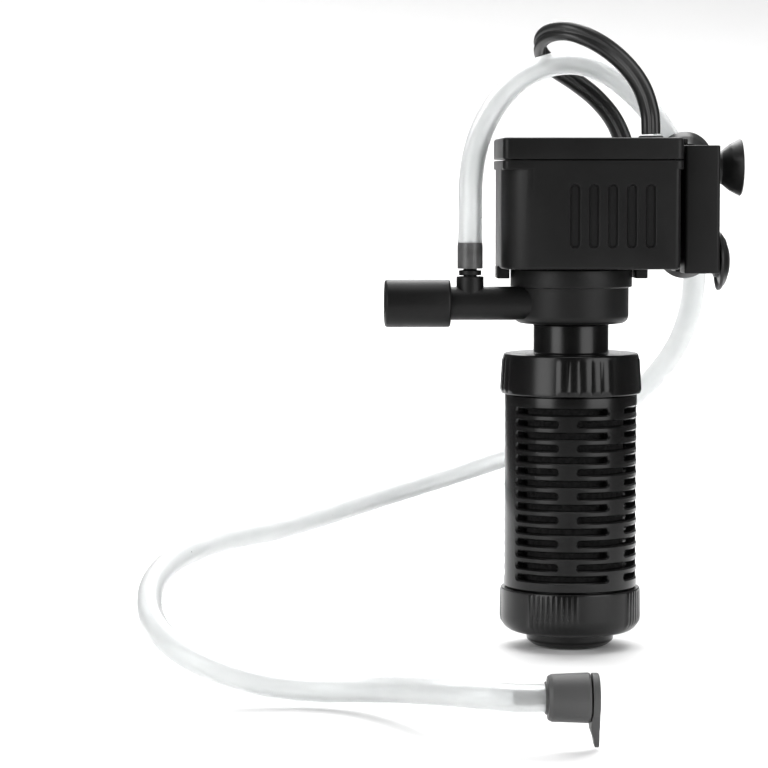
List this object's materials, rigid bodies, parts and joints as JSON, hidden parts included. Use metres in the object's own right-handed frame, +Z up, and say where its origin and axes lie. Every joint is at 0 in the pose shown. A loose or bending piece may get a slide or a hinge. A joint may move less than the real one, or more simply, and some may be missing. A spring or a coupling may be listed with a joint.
{
  "type": "internal power filter",
  "caption": "Submersible aquarium pump on a slotted sponge cartridge, with a side water outlet, a venturi air line and valve, a suction-cup bracket and a mains lead.",
  "frame": {"origin": "centre of the flat boss under the cartridge, where the filter stands", "axes": "+Z up the cartridge and pump axis, +X towards the suction-cup bracket, -X out of the water outlet, -Y out of the grooved front"},
  "size_m": [0.1598, 0.3192, 0.1681],
  "materials": {
    "shell": "satin black moulded plastic with a fine spark-eroded texture",
    "cartridge": "semi-gloss black moulded plastic",
    "rubber": "black nitrile rubber",
    "cup_rubber": "soft black PVC, slightly glossy",
    "cord": "black PVC jacket, satin",
    "valve": "matt dark grey moulded plastic",
    "sponge": "open-cell charcoal foam",
    "air_tube": "frosted translucent air line",
    "nickel": "nickel plate",
    "ferrite": "sintered ferrite, matt",
    "ceramic": "ground white ceramic",
    "lamination": "stacked steel laminations",
    "copper": "enamelled copper wire",
    "bobbin": "natural nylon",
    "resin": "dark potting resin"
  },
  "bodies": {
    "pump_head": {"motor_housing": "shell", "housing_lid": "shell", "stator_core": "lamination", "coil_bobbin_front": "bobbin", "coil_bobbin_rear": "bobbin", "coil_winding_front": "copper", "coil_winding_rear": "copper", "potting_resin": "resin", "cable_gland": "rubber", "impeller_shaft": "ceramic", "shaft_bush_upper": "rubber", "shaft_bush_lower": "rubber", "impeller_chamber": "shell", "chamber_seal": "rubber", "air_nozzle": "shell", "air_tube": "air_tube", "air_valve_body": "valve", "mains_cord": "cord", "mains_hank": "cord", "mains_cord_tail": "cord", "hank_tie": "cord", "plug_body": "cord", "plug_pin_left": "nickel", "plug_pin_right": "nickel"},
    "rotor": {"impeller": "cartridge", "rotor_magnet": "ferrite"},
    "outlet": {"outlet_sleeve": "shell"},
    "bracket": {"suction_bracket": "shell", "suction_cup_right_lower": "cup_rubber", "suction_cup_right_upper": "cup_rubber", "suction_cup_rear_lower": "cup_rubber", "suction_cup_rear_upper": "cup_rubber"},
    "cartridge": {"cartridge_top_cap": "cartridge", "neck_seal": "rubber", "filter_cage": "cartridge", "filter_sponge": "sponge"},
    "bottom_cap": {"cartridge_bottom_cap": "cartridge"},
    "valve_dial": {"air_valve_dial": "valve"}
  },
  "joints": [
    {"name": "impeller_spin", "type": "hinge", "parent": "pump_head", "child": "rotor", "pos_m": [0, 0, 0.1], "axis": [0, 0, 1], "continuous": true},
    {"name": "outlet_sleeve_turn", "type": "hinge", "parent": "pump_head", "child": "outlet", "pos_m": [-0.042, -0.006, 0.0928], "axis": [1, 0, 0], "range_deg": [-180, 180]},
    {"name": "bracket_slide", "type": "slide", "parent": "pump_head", "child": "bracket", "axis": [0, 0, -1], "range_m": [0, 0.034]},
    {"name": "cartridge_turn", "type": "hinge", "parent": "pump_head", "child": "cartridge", "pos_m": [0, 0, 0.084], "axis": [0, 0, 1], "continuous": true},
    {"name": "bottom_cap_twist", "type": "hinge", "parent": "cartridge", "child": "bottom_cap", "pos_m": [0, 0, 0.01], "axis": [0, 0, 1], "range_deg": [0, 30]},
    {"name": "air_valve_turn", "type": "hinge", "parent": "pump_head", "child": "valve_dial", "pos_m": [-0.01, -0.151, 0.0113], "axis": [1, 0, 0], "range_deg": [0, 180]}
  ]
}
